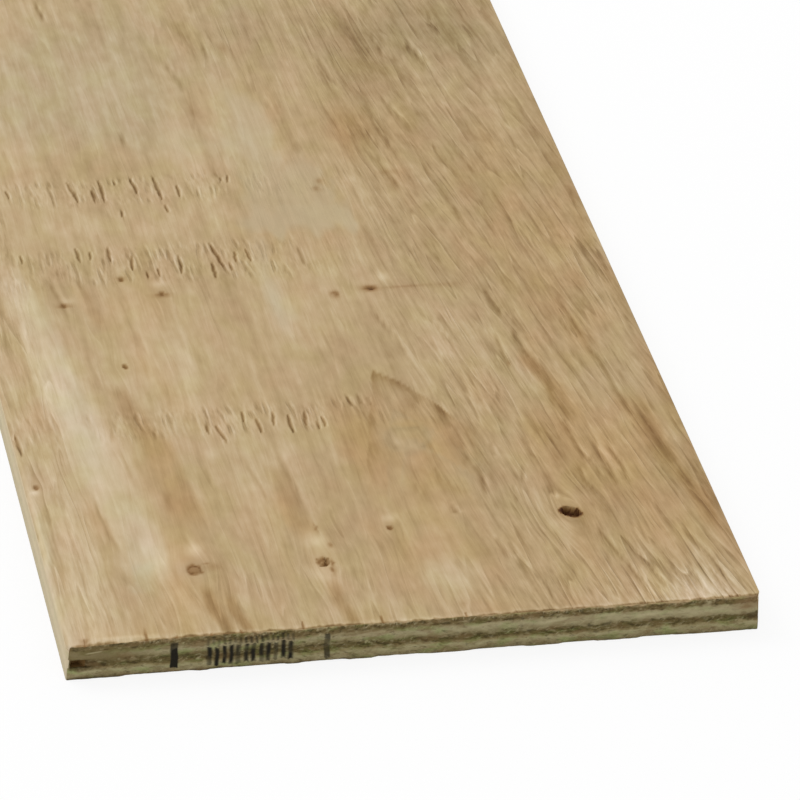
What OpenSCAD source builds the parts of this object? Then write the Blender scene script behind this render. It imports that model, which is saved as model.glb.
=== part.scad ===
// A cut panel of five-ply sheathing plywood that lies flat with its face up.
// Millimetres, +Z up. X runs across the grain of the face and Y along it.
// The origin is the middle of the underside. The front edge is the one at lowest Y.

/* [Sheet] */
// Width of the sheet, across the grain of the face
sheet_w = 304.8; // [300:0.1:1220]
// Length of the sheet, along the grain of the face
sheet_l = 609.6; // [450:0.1:2440]

/* [Plies] */
// Thickness of the face veneer, on top, with its grain along the sheet
face_t = 3.6; // [2.6:0.1:5]
// Thickness of the upper crossband, with its grain across the sheet
upper_t = 4.6; // [2.5:0.1:6]
// Thickness of the core ply, with its grain along the sheet
core_t = 4.0; // [2.5:0.1:6]
// Thickness of the lower crossband, with its grain across the sheet
lower_t = 3.9; // [2.5:0.1:6]
// Thickness of the back veneer, at the bottom, with its grain along the sheet
back_t = 2.2; // [1.6:0.1:4]

/* [Corners and edges] */
// Radius of the sound corners, seen from above
corner_r = 1; // [0.2:0.1:4]
// Radius of the two worn front corners of the face and the ply under it
worn_corner_r = 4.5; // [1:0.5:10]
// Radius of the left long edge of the face veneer, which is worn round
left_eased_r = 2.2; // [0.4:0.1:2.4]
// Radius of the right long edge of the face veneer
right_eased_r = 0.8; // [0.4:0.1:2.4]
// Length of the bruise on the front edge, from the left corner
bruise_l = 42; // [20:1:80]
// How far the bruise reaches back from the front edge
bruise_w = 5; // [2:0.5:10]
// How deep the bruise is at the corner
bruise_d = 1.4; // [0.4:0.1:2.4]

/* [Core gap] */
// Width of the gap that has broken out of the front edge of the core ply, at the left
core_gap_w = 7; // [4:0.5:20]
// How far the gap runs back from the front edge
core_gap_l = 4.5; // [3:0.5:30]
// Width of the splinter that still stands between the gap and the left edge
splinter_w = 1.6; // [1:0.1:4]

/* [Knots] */
// Diameter of the open knothole, which goes right through the face veneer
knothole_d = 8.4; // [4:0.2:14]
// Diameter of the loose knot, which has shrunk away from one side of its hole
loose_knot_d = 7; // [4:0.2:12]
// Widest opening beside the loose knot
loose_gap = 2.6; // [1:0.2:3.6]
// Outer diameter of the ring of bark round the tight knot
tight_knot_d = 8; // [5:0.2:14]
// Width of the ring of bark round the tight knot
bark_w = 1.3; // [0.6:0.1:2]
// Depth of the ring of bark and of the gap beside the loose knot
bark_depth = 1.6; // [0.6:0.1:2.4]
// Diameter of the small pin knots
pin_knot_d = 2.8; // [1.6:0.2:5]
// Depth of the small pin knots
pin_knot_depth = 1; // [0.4:0.1:2]

/* [Torn grain] */
// Width of the longest torn-grain checks, at their middle
check_w = 1.5; // [0.6:0.1:2.4]
// Depth of the torn-grain checks
check_depth = 1.2; // [0.4:0.1:2.2]
// Width of the nicks in the front edge of the face veneer
nick_w = 1.8; // [0.8:0.1:3]
// How deep the chips are that are torn from the underside at the front edge
chip_depth = 0.5; // [0.3:0.1:1.5]

/* [Hidden] */
$fn = 48;

// Height of the underside of each ply, from the bottom up
lower_z = back_t;
core_z = lower_z + lower_t;
upper_z = core_z + core_t;
face_z = upper_z + upper_t;
top_z = face_z + face_t;

// How far a cutter runs past the surface that it opens
past = 2;
// Share of its length that a short check is wide
check_slim = 0.1;

// Places on the face: x from the centre line, y from the front edge
KNOTHOLE = [84.3, 74.2];
LOOSE_KNOT = [-32.6, 49];
TIGHT_KNOT = [-88.8, 49.8];
PIN_KNOTS = [
    [-147.3, 122], [-92.3, 216.5], [2, 71.5], [-112, 272.5], [-65, 278], [-82, 293], [34, 272],
];

// Torn-grain checks, in the three bands where the knife lifted the grain as the face
// veneer was peeled: x, y, length, and how far the back end leans to the left in degrees
CHECKS = [
    [-150.5, 157, 17, 3], [-64, 160, 8, 0], [-58.6, 156, 15, 12], [-46.5, 168, 10, -4],
    [-40.5, 160, 14, 2], [-33, 165, 12, -5], [-26, 160, 16, 0], [-18.5, 163, 12, -4],
    [-14, 157, 8, 3], [-10.5, 160, 10, 2],
    [-126, 316, 8, 0], [-99, 317, 14, 4], [-93, 316, 9, -4], [-84, 316, 14, 0],
    [-74.5, 307, 14, -8], [-69, 295, 7, 0], [-63.5, 297, 8, 0], [-52, 303, 18, -3],
    [-37.2, 296, 16, -2], [-33.6, 310, 24, 8], [-28.5, 298, 9, 2], [-25, 307, 12, -4],
    [-18.5, 308, 12, 4],
    [-124, 376, 9, 6], [-92.4, 375, 22, 8], [-83, 371, 13, 0], [-78.4, 375, 22, 0],
    [-71, 382, 6, 0], [-62.2, 378, 16, 7], [-51.3, 375, 24, 3], [-41.5, 371, 13, 0],
    [-19.2, 380, 6, -8], [-16, 380, 8, -10], [-72, 352.5, 8, 0], [-49.8, 355, 9, 6],
];

// Nicks in the front edge of the face veneer: x, and how far back they run
NICKS = [[-144.5, 4], [-118, 7], [-105, 2], [-90, 2.5], [-77, 3], [-50, 6], [-15.5, 7], [21, 4]];

// Chips torn from the underside along the front edge: x, width and how far back they run
CHIPS = [
    [-112, 34, 2.4], [-74, 36, 3.2], [-40, 22, 2.6], [-8, 26, 2.2], [36, 30, 1.8],
    [72, 18, 2.2], [108, 22, 1.6],
];

// Distance from the front edge, as a place on Y
function from_front(y) = y - sheet_l / 2;

// A point on the face: x from the centre line, y from the front edge
module at_face(place) {
    translate([place[0], from_front(place[1]), 0]) children();
}

// What is left outside a round corner in a square of the radius r
module corner_waste(r) {
    difference() {
        translate([-past, -past]) square(r + past);
        translate([r, r]) circle(r);
    }
}

// The sheet from above, with its two front corners rounded to front_r
module outline(front_r) {
    difference() {
        translate([-sheet_w / 2, -sheet_l / 2]) square([sheet_w, sheet_l]);
        translate([-sheet_w / 2, -sheet_l / 2]) corner_waste(front_r);
        translate([sheet_w / 2, -sheet_l / 2]) rotate(90) corner_waste(front_r);
        translate([sheet_w / 2, sheet_l / 2]) rotate(180) corner_waste(corner_r);
        translate([-sheet_w / 2, sheet_l / 2]) rotate(270) corner_waste(corner_r);
    }
}

// One veneer, cut to the outline of the sheet
module veneer(z, t, front_r = corner_r) {
    translate([0, 0, z]) linear_extrude(t) outline(front_r);
}

// A slit that is pointed at both ends, where two arcs of the same radius cross
module slit(length, width) {
    r = (length * length + width * width) / (4 * width);
    intersection() {
        translate([width / 2 - r, 0]) circle(r, $fn = 180);
        translate([r - width / 2, 0]) circle(r, $fn = 180);
    }
}

// Sinks a flat shape into the top of the face veneer
module sunk(depth) {
    translate([0, 0, top_z - depth]) linear_extrude(depth + past) children();
}

// The round over one long edge, as waste to cut away; side is -1 for left and 1 for right
module long_edge_waste(side, r) {
    translate([side * sheet_w / 2, 0, top_z])
        rotate([90, 0, 0])
        linear_extrude(sheet_l + 2 * past, center = true)
        mirror([side > 0 ? 1 : 0, 0])
        difference() {
            translate([-past, -r]) square(r + past);
            translate([r, -r]) circle(r);
        }
}

// The bruise is a slope that starts at the corner and dies out along the front edge
module bruise_waste() {
    slope = atan(bruise_d / bruise_w);
    skew = atan(bruise_w / bruise_l);
    translate([-sheet_w / 2, from_front(bruise_w), top_z])
        rotate([0, 0, -skew])
        rotate([slope, 0, 0])
        translate([-bruise_l, -2 * bruise_w, 0])
        cube([3 * bruise_l, 2 * bruise_w, 2 * past]);
}

// Open knothole, loose knot, tight knot in its ring of bark, and pin knots
module knots() {
    at_face(KNOTHOLE)
        translate([0, 0, face_z - past]) cylinder(d = knothole_d, h = face_t + 2 * past);
    at_face(LOOSE_KNOT) sunk(bark_depth) difference() {
        circle(d = loose_knot_d);
        translate([-loose_gap, loose_gap / 3]) circle(d = loose_knot_d);
    }
    at_face(TIGHT_KNOT) sunk(bark_depth) difference() {
        circle(d = tight_knot_d);
        circle(d = tight_knot_d - 2 * bark_w);
    }
    for (place = PIN_KNOTS) at_face(place) sunk(pin_knot_depth) circle(d = pin_knot_d);
}

// Torn-grain checks, each as wide as its length allows
module checks() {
    for (c = CHECKS)
        at_face(c) sunk(check_depth) rotate(c[3]) slit(c[2], min(check_w, c[2] * check_slim));
}

// Nicks that run back from the front edge and are open at its face
module nicks() {
    for (n = NICKS) at_face([n[0], 0]) sunk(check_depth) slit(2 * n[1], nick_w);
}

module face_veneer() {
    color([0.75, 0.64, 0.46]) difference() {
        veneer(face_z, face_t, worn_corner_r);
        long_edge_waste(-1, left_eased_r);
        long_edge_waste(1, right_eased_r);
        bruise_waste();
        knots();
        checks();
        nicks();
    }
}

module upper_crossband() {
    color([0.56, 0.51, 0.37]) veneer(upper_z, upper_t, worn_corner_r);
}

// A piece has broken out of the front edge of the core ply, beside the left corner
module core_ply() {
    color([0.36, 0.30, 0.18]) difference() {
        veneer(core_z, core_t);
        translate([splinter_w - sheet_w / 2, -sheet_l / 2, core_z - past])
            linear_extrude(core_t + 2 * past)
            polygon([
                [0, -past], [core_gap_w, -past],
                [core_gap_w * 0.9, core_gap_l * 0.5],
                [core_gap_w * 0.5, core_gap_l],
                [core_gap_w * 0.1, core_gap_l * 0.8],
            ]);
    }
}

module lower_crossband() {
    color([0.53, 0.50, 0.34]) veneer(lower_z, lower_t);
}

// The underside is torn into chips where the saw came out at the front edge
module back_veneer() {
    color([0.40, 0.35, 0.24]) difference() {
        veneer(0, back_t);
        for (c = CHIPS)
            at_face([c[0], 0])
                translate([0, 0, -past])
                linear_extrude(chip_depth + past)
                rotate(90)
                slit(c[1], 2 * c[2]);
    }
}

face_veneer();
upper_crossband();
core_ply();
lower_crossband();
back_veneer();
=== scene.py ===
# %% [markdown]
# # A cut sheet of five-ply sheathing plywood
# The sheet is five veneers of pine, peeled from a log, laid with their grain crossed and
# glued. Seen from above it is one rough face with knots and torn grain, and its sawn edges
# show the five plies as dark and light bands. We load the exact model first. It is the
# fixed frame: the sheet's size below comes from its boxes, and nothing in it is moved.

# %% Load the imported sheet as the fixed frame
import math

import bpy
import numpy as np
from mathutils import Matrix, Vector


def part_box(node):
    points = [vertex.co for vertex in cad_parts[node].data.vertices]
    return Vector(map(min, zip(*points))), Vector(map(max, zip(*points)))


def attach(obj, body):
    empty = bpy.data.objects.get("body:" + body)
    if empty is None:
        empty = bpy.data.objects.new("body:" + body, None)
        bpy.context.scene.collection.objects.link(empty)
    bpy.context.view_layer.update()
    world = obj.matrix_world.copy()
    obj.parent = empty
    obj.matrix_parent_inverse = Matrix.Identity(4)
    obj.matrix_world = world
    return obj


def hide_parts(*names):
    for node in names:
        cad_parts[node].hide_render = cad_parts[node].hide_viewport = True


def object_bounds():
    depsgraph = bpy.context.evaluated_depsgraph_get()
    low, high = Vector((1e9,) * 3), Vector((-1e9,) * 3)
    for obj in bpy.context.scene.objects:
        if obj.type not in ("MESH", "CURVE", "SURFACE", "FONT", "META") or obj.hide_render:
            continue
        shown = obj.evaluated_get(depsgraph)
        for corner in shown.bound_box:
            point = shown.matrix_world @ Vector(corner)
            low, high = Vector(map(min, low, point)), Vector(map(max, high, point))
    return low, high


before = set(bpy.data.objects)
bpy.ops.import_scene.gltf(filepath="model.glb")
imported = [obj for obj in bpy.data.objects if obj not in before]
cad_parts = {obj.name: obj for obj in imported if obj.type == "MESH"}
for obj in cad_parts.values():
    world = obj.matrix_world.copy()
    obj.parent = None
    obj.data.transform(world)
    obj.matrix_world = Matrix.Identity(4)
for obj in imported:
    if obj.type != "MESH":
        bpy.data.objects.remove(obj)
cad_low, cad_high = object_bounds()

MM = 0.001
HALF_W = cad_high.x / MM
HALF_L = cad_high.y / MM
TOP = cad_high.z / MM
print(f"sheet: {2 * HALF_W:.1f} x {2 * HALF_L:.1f} x {TOP:.1f} mm")


def span(node):
    """The lowest and highest height of a ply, in mm."""
    low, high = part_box(node)
    return low.z / MM, high.z / MM


# %% [markdown]
# ## The camera
# A photograph taken from far away with a long lens has almost no perspective. The sheet's
# edges meet far outside the picture, and solving for them gives the lens, the place and
# three turns: how far round the camera stands, how steeply it looks down, and its roll.

# %% Camera
CAMERA_PLACE = (-0.46214, -2.15361, 1.33531)
CAMERA_ROUND = math.radians(13.612)
CAMERA_DOWN = math.radians(32.335)
CAMERA_ROLL = math.radians(3.665)
LENS_MM = 242.98
SENSOR_MM = 36

lens = bpy.data.cameras.new("camera")
lens.lens = LENS_MM
lens.sensor_width = SENSOR_MM
lens.clip_start = 0.1
lens.clip_end = 50
camera = bpy.data.objects.new("camera", lens)
bpy.context.scene.collection.objects.link(camera)
turn = Matrix.Rotation(-CAMERA_ROUND, 4, "Z") @ Matrix.Rotation(math.pi / 2 - CAMERA_DOWN, 4, "X")
turn = turn @ Matrix.Rotation(CAMERA_ROLL, 4, "Z")
camera.matrix_world = Matrix.Translation(CAMERA_PLACE) @ turn
bpy.context.scene.camera = camera
print("camera looks down", round(math.degrees(CAMERA_DOWN), 1), "degrees")

# %% [markdown]
# ## Shader maths as plain expressions
# A material is a net of nodes, and long sums of Math nodes are hard to read. So one small
# class stands for the output of a node, and + - * / on it add the Math nodes. Every other
# node comes from one method, which takes its type, its settings and its sockets.


# %% A wire is one output of a node
class Wire:
    """The output of a node. Arithmetic with it adds Math nodes to the same material."""

    def __init__(self, finish, socket):
        self.finish = finish
        self.socket = socket

    def math(self, operation, first, second=0.0):
        """A Math node on two values or wires."""
        return self.finish.node("ShaderNodeMath", {"operation": operation}, {0: first, 1: second})

    def __add__(self, other):
        return self.math("ADD", self, other)

    __radd__ = __add__

    def __mul__(self, other):
        return self.math("MULTIPLY", self, other)

    __rmul__ = __mul__

    def __sub__(self, other):
        return self.math("SUBTRACT", self, other)

    def __rsub__(self, other):
        return self.math("SUBTRACT", other, self)

    def __truediv__(self, other):
        return self.math("DIVIDE", self, other)

    def size(self):
        """The wire without its sign."""
        return self.math("ABSOLUTE", self)

    def part(self):
        """What is left of the wire after its whole number."""
        return self.math("FRACT", self)

    def rise(self, low, high):
        """0 up to low, 1 from high on, and a smooth rise between them."""
        ends = {0: self, 1: low, 2: high, 3: 0.0, 4: 1.0}
        return self.finish.node("ShaderNodeMapRange", {"interpolation_type": "SMOOTHSTEP"}, ends)


# %% A finish is one material under construction
WOOD_SHINE = 0.15


def fill_ramp(ramp, stops):
    """Puts (position, colour) stops on a colour ramp, from low to high."""
    for element, (position, colour) in zip(ramp.elements, (stops[0], stops[-1])):
        element.position = position
        element.color = colour
    for position, colour in stops[1:-1]:
        element = ramp.elements.new(position)
        element.color = colour


class Finish:
    """A material and the nodes in it."""

    def __init__(self, name):
        self.material = bpy.data.materials.new(name)
        self.material.use_nodes = True
        self.tree = self.material.node_tree
        self.tree.nodes.clear()

    def node(self, kind, settings, sockets, out=0):
        """Adds a node: first its settings, then each socket's value or link."""
        made = self.tree.nodes.new(kind)
        for name, value in settings.items():
            if name == "stops":
                fill_ramp(made.color_ramp, value)
            else:
                setattr(made, name, value)
        for name, value in sockets.items():
            if isinstance(value, Wire):
                self.tree.links.new(value.socket, made.inputs[name])
            else:
                made.inputs[name].default_value = value
        return Wire(self, made.outputs[out]) if made.outputs else made

    def attribute(self, name):
        """A number that the mesh carries at each of its points."""
        return self.node("ShaderNodeAttribute", {"attribute_name": name}, {}, out="Fac")

    def place(self):
        """Object coordinates in mm, as three wires."""
        metres = self.node("ShaderNodeTexCoord", {}, {}, out="Object")
        parts = self.node("ShaderNodeSeparateXYZ", {}, {0: metres})
        outputs = parts.socket.node.outputs
        return [Wire(self, outputs[axis]) * (1 / MM) for axis in range(3)]

    def noise(self, across, along, layer, detail=3.0, roughness=0.5):
        """Noise from about 0 to 1, one grain for each unit of the two wires."""
        where = self.node("ShaderNodeCombineXYZ", {}, {0: across, 1: along, 2: layer})
        sockets = {"Vector": where, "Scale": 1.0, "Detail": detail, "Roughness": roughness}
        return self.node("ShaderNodeTexNoise", {}, sockets)

    def ramp(self, wire, stops):
        """A colour for each value of a wire."""
        return self.node("ShaderNodeValToRGB", {"stops": stops}, {0: wire})

    def mix(self, share, first, second, blend="MIX"):
        """The first colour, turned into the second where share is 1. On a Mix node the colours
        go into sockets 6 and 7 and come out of output 2."""
        settings = {"data_type": "RGBA", "blend_type": blend, "clamp_factor": True}
        return self.node("ShaderNodeMix", settings, {0: share, 6: first, 7: second}, out=2)

    def tint(self, share, colour, filter_colour):
        """The colour seen through a coloured filter, as far as share says."""
        return self.mix(share, colour, filter_colour, "MULTIPLY")

    def wood(self, colour, height, roughness, relief_mm):
        """Ends the material in a wood shader with its relief as bump."""
        bump_sockets = {"Strength": 1.0, "Distance": relief_mm * MM, "Height": height}
        bump = self.node("ShaderNodeBump", {}, bump_sockets, out="Normal")
        sockets = {"Base Color": colour, "Roughness": roughness, "Normal": bump}
        sockets["Specular IOR Level"] = WOOD_SHINE
        shader = self.node("ShaderNodeBsdfPrincipled", {}, sockets)
        self.node("ShaderNodeOutputMaterial", {}, {"Surface": shader})
        return self.material


# %% [markdown]
# Colours are written as they look on a screen, from 0 to 255, and turned into the linear
# values that light is counted in.


# %% Colours
def screen(red, green, blue):
    """A colour given as screen values: v / 12.92 when dark, else ((v + 0.055) / 1.055) ^ 2.4."""
    parts = [value / 255 for value in (red, green, blue)]
    linear = [v / 12.92 if v <= 0.04045 else ((v + 0.055) / 1.055) ** 2.4 for v in parts]
    return (*linear, 1.0)


def screen_stops(rows):
    """Rows of a position and a screen colour, as the stops of a ramp."""
    return [(position, screen(*colour)) for position, *colour in rows]


print("mid grey on a screen is", round(screen(128, 128, 128)[0], 2), "in linear light")

# %% [markdown]
# ## Noise and easing in numpy
# The shapes need noise too: the saw leaves an edge rough, and the grain is never straight.
# Value noise is enough, which is a table of random heights with smooth blends between them.


# %% Easing and noise
def ease(t):
    """0 below 0, 1 above 1, and 3 t^2 - 2 t^3 between."""
    t = np.clip(t, 0, 1)
    return t * t * (3 - 2 * t)


def wander(a, b, seed):
    """Smooth noise from -1 to 1: random heights where a and b are whole, blended between."""
    size = 256
    table = np.random.default_rng(seed).uniform(-1, 1, (size, size))
    column = np.floor(a).astype(int)
    row = np.floor(b).astype(int)
    s = ease(a - column)
    t = ease(b - row)
    near = table[column % size, row % size] * (1 - s) + table[(column + 1) % size, row % size] * s
    far = table[column % size, (row + 1) % size] * (1 - s)
    far += table[(column + 1) % size, (row + 1) % size] * s
    return near * (1 - t) + far * t


def swell(a, b, seed):
    """The same noise, from 0 to 1."""
    return 0.5 + 0.5 * wander(a, b, seed)


def distance(x, y, place, squash=1.0):
    """Distance from a place, with the part along the sheet counted squash times."""
    return np.hypot(x - place[0], (y - place[1]) * squash)


def mound(x, y, x_mid, y_mid, across, along):
    """A soft hill of height 1 round its middle: e to the minus squared distance, which is
    counted in units of its reach across and along."""
    return np.exp(-(((x - x_mid) / across) ** 2) - ((y - y_mid) / along) ** 2)


print("noise at two places:", wander(0.3, 0.7, 1).round(2), wander(4.2, 0.1, 1).round(2))

# %% [markdown]
# ## Where the marks of the face are
# The knots and the torn grain are what one knows this sheet by, so they have named places:
# x is counted in mm from the middle line, and y from the front edge. The same places are cut
# in the exact model.

# %% Knots
KNOTHOLE = (84.3, 74.2)
KNOTHOLE_R = 4.2
KNOTHOLE_TURN = -32
LOOSE_KNOT = (-32.6, 49.0)
LOOSE_KNOT_R = 3.5
TIGHT_KNOT = (-88.8, 49.8)
TIGHT_KNOT_R = 4.0
TIGHT_KNOT_SQUASH = 0.85
PIN_KNOT_R = 1.5
PIN_KNOT_SQUASH = 0.8
PIN_KNOTS = [
    (-147.3, 122), (-92.3, 216.5), (2, 71.5), (-112, 272.5), (-65, 278), (-82, 293), (34, 272),
]
PIN_DARKNESS = [0.5, 0.7, 0.6, 0.6, 0.62, 0.66, 0.7]
KNOTS = [(KNOTHOLE, KNOTHOLE_R), (LOOSE_KNOT, LOOSE_KNOT_R), (TIGHT_KNOT, TIGHT_KNOT_R)]
KNOTS += [(place, PIN_KNOT_R) for place in PIN_KNOTS]
print(len(KNOTS), "knots")

# %% [markdown]
# The knife that peels the veneer lifts the grain where it runs into the wood. That leaves
# three bands of short slits across the sheet. Each slit has a place, a length and the
# degrees that its far end leans to the left.

# %% Torn grain
# x, y, length, lean in degrees
CHECKS = [
    (-150.5, 157, 17, 3), (-64, 160, 8, 0), (-58.6, 156, 15, 12), (-46.5, 168, 10, -4),
    (-40.5, 160, 14, 2), (-33, 165, 12, -5), (-26, 160, 16, 0), (-18.5, 163, 12, -4),
    (-14, 157, 8, 3), (-10.5, 160, 10, 2),
    (-126, 316, 8, 0), (-99, 317, 14, 4), (-93, 316, 9, -4), (-84, 316, 14, 0),
    (-74.5, 307, 14, -8), (-69, 295, 7, 0), (-63.5, 297, 8, 0), (-52, 303, 18, -3),
    (-37.2, 296, 16, -2), (-33.6, 310, 24, 8), (-28.5, 298, 9, 2), (-25, 307, 12, -4),
    (-18.5, 308, 12, 4),
    (-124, 376, 9, 6), (-92.4, 375, 22, 8), (-83, 371, 13, 0), (-78.4, 375, 22, 0),
    (-71, 382, 6, 0), (-62.2, 378, 16, 7), (-51.3, 375, 24, 3), (-41.5, 371, 13, 0),
    (-19.2, 380, 6, -8), (-16, 380, 8, -10), (-72, 352.5, 8, 0), (-49.8, 355, 9, 6),
]
CHECK_W = 1.5
CHECK_DEPTH = 0.55
CHECK_SLIM = 0.1
SLIT_RAGGED = 0.3
# middle along the sheet, half width, x of the right end
TORN_BANDS = [(166, 14, 16), (305, 20, 4), (374, 14, 2)]
# x, how far it runs back
NICKS = [(-144.5, 4), (-118, 7), (-105, 2), (-90, 2.5), (-77, 3), (-50, 6), (-15.5, 7), (21, 4)]
NICK_W = 1.8
NICK_SHARE = 0.6
print(len(CHECKS), "slits in", len(TORN_BANDS), "bands")

# %% [markdown]
# ## How the grain runs
# On the right the grain leans: its lines move to the left as they go back. The easiest way
# to make every streak follow it is one number for each point, the place of its grain line.
# A material that draws its streaks by that number needs no other bend.

# %% The grain line of a point
LEAN_LEFT = 0.02
LEAN_RIGHT = 0.125
LEAN_FROM = -10
LEAN_OVER = 80
LEAN_MIDDLE = 150


def grain_line(x, y):
    """The grain line in mm: x, plus the lean times the way to a middle line, plus three slow
    waves. Beside a knot the lines are pushed apart by a pull that dies out with distance."""
    lean = LEAN_LEFT + (LEAN_RIGHT - LEAN_LEFT) * ease((x - LEAN_FROM) / LEAN_OVER)
    line = x + lean * (y - LEAN_MIDDLE)
    line += 2.2 * wander(x / 70 + 3, y / 240, 11) + 0.6 * wander(x / 22, y / 80, 12)
    line += 0.4 * wander(x / 6, y / 17, 13)
    for place, radius in KNOTS:
        aside = x - place[0]
        near = np.exp(-np.abs(aside) / (4 * radius) - ((y - place[1]) / (5 * radius)) ** 2)
        line -= 1.3 * radius * np.tanh(aside / radius) * near
    return line


print("a grain line at the right of the front edge:", grain_line(150.0, 0.0).round(1), "mm")

# %% [markdown]
# ## The height of the face
# The face is a height above each point of a grid. It starts flat, and then every mark takes
# something away: the raised grain, the slits with their lifted lips, the knots, the nicks in
# the front edge, the bruised corner and the eased long edges. Nothing rises above the exact
# sheet, so the size stays true.


# %% How deep the slits and nicks are
def slit_depth(x, y, slit, width):
    """0 outside and 1 along the middle of a slit: two arcs bound it, so its half width is
    width / 2 times 1 - (2 along / length)^2. Its sides are torn, so they wander."""
    lean = math.radians(slit[3])
    along = -(x - slit[0]) * math.sin(lean) + (y - slit[1]) * math.cos(lean)
    aside = (x - slit[0]) * math.cos(lean) + (y - slit[1]) * math.sin(lean)
    aside += SLIT_RAGGED * wander(y / 2.6, slit[0], 33)
    half = width / 2 * np.clip(1 - (2 * along / slit[2]) ** 2, 0, 1)
    inside = ease(1.3 - np.abs(aside) / np.maximum(half, 0.01))
    return inside * (half > 0.05), aside, half


def torn_depth(x, y):
    """Depth of the slits from 0 to 1, and the height of the lips that stand up beside them."""
    depth = np.zeros_like(x)
    lips = np.zeros_like(x)
    for slit in CHECKS:
        inside, aside, half = slit_depth(x, y, slit, min(CHECK_W, slit[2] * CHECK_SLIM))
        depth = np.maximum(depth, inside)
        lip = np.exp(-(((np.abs(aside) - half - 0.8) / 0.6) ** 2)) * ease(half / 0.3)
        lips = np.maximum(lips, lip * np.where(aside > 0, 1.0, 0.5))
    return depth, lips * (depth < 0.05)


def nick_depth(x, y):
    """Depth of the nicks in the front edge, from 0 to 1."""
    depth = np.zeros_like(x)
    for x_nick, reach in NICKS:
        inside, _, _ = slit_depth(x, y, (x_nick, 0, 2 * reach, 0), NICK_W)
        depth = np.maximum(depth, inside)
    return depth

# %% [markdown]
# A knot is a branch that the knife cut through. One has fallen out and left a hole down to
# the next ply, one has shrunk away from the right side of its hole, one sits tight in a ring
# of bark, and the pin knots are small pits.

# %% How deep the knots are
# length and width of the knothole, in units of its radius
KNOTHOLE_OVAL = (1.04, 0.76)
KNOTHOLE_FLOOR = 3.3
CRESCENT_DEPTH = 1.6
LOOSE_KNOT_DEPTH = 0.3
BARK_DEPTH = 0.6
PIN_KNOT_DEPTH = 0.8


def from_knothole(x, y):
    """Distance from the middle of the knothole, counted so that its edge is at its radius. It
    is a turned oval, so the way along it and the way across count differently."""
    turned = math.radians(KNOTHOLE_TURN)
    along = (x - KNOTHOLE[0]) * math.cos(turned) + (y - KNOTHOLE[1]) * math.sin(turned)
    aside = (y - KNOTHOLE[1]) * math.cos(turned) - (x - KNOTHOLE[0]) * math.sin(turned)
    return np.hypot(along / KNOTHOLE_OVAL[0], aside / KNOTHOLE_OVAL[1])


def knot_depth(x, y):
    """Depth in mm: a hole to the next ply, a crescent beside the loose knot, a ring round the
    tight one, and small pits."""
    far = from_knothole(x, y) + 0.5 * wander(x / 2, y / 2, 21)
    depth = KNOTHOLE_FLOOR * ease((KNOTHOLE_R + 0.1 - far) / 0.8)
    far = distance(x, y, LOOSE_KNOT)
    off = distance(x, y, (LOOSE_KNOT[0] - 2.0, LOOSE_KNOT[1] + 1.2))
    crescent = ease((LOOSE_KNOT_R - far) / 0.7) * ease((off - LOOSE_KNOT_R + 0.3) / 0.8)
    depth += CRESCENT_DEPTH * crescent + LOOSE_KNOT_DEPTH * ease((LOOSE_KNOT_R - far) / 1.2)
    far = distance(x, y, TIGHT_KNOT, TIGHT_KNOT_SQUASH)
    depth += BARK_DEPTH * np.exp(-(((far - TIGHT_KNOT_R + 1.1) / 0.7) ** 2))
    for place in PIN_KNOTS:
        far = distance(x, y, place, PIN_KNOT_SQUASH)
        depth += PIN_KNOT_DEPTH * ease((PIN_KNOT_R + 0.2 - far) / 0.9)
    return depth


# %% [markdown]
# The long edges of the face are worn round, the left one more than the right one. The front
# left corner is bruised, so the face slopes down to it.

# %% How deep the edges are worn
LEFT_EASED_R = 2.2
RIGHT_EASED_R = 0.8
# length along the front edge, reach back from it, depth at the corner
BRUISE = (42.0, 5.0, 1.4)
RAGGED_DEPTH = 0.12


def edge_depth(x, y):
    """Depth in mm near the rim: a quarter round on the long edges, a slope on the bruised
    corner that dies out along both edges, and a ragged front."""
    radius = np.where(x < 0, LEFT_EASED_R, RIGHT_EASED_R)
    within = np.clip(radius - (HALF_W - np.abs(x)), 0, radius)
    depth = radius - np.sqrt(radius**2 - within**2)
    long, wide, deep = BRUISE
    depth += deep * np.clip(1 - (x + HALF_W) / long - y / wide, 0, 1)
    depth += RAGGED_DEPTH * ease(1 - y / 1.2) * (0.6 + 0.4 * wander(x / 2.1, y / 2, 31))
    return depth


# %% [markdown]
# The grid is fine only where a mark needs it. Across the sheet its lines stand half a
# millimetre apart over the torn grain. Along it they stand one to two millimetres apart
# over the bands and the knots, and up to nine where the face is plain.


# %% Grid lines
def rule(marks, steps):
    """Lines from the first mark to the last, each stretch split evenly into steps."""
    counts = [math.ceil((b - a) / step) for a, b, step in zip(marks, marks[1:], steps)]
    parts = [np.linspace(a, b, n, endpoint=False) for a, b, n in zip(marks, marks[1:], counts)]
    return np.append(np.concatenate(parts), marks[-1])


marks = [-HALF_W, -HALF_W + 2.4, 6, 78, 90, HALF_W - 0.9, HALF_W]
face_x = rule(marks, [0.3, 0.56, 0.95, 0.6, 0.95, 0.3])
marks = [0, 6, 40, 80, 118, 126, 150, 180, 204, 212, 221, 262, 326, 349, 388]
marks += [2 * HALF_L - 4, 2 * HALF_L]
face_y = rule(marks, [0.8, 4, 1.25, 4, 1.4, 4, 1.7, 2.7, 4, 1.5, 6, 1.9, 5, 1.8, 9, 2])
print("face grid:", len(face_x), "by", len(face_y), "lines")


# %% The face as a surface
REST_DEPTH = 0.08
RIDGE_DEPTH = 0.10
RIPPLE_DEPTH = 0.10
LIP_HEIGHT = 0.15


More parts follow.
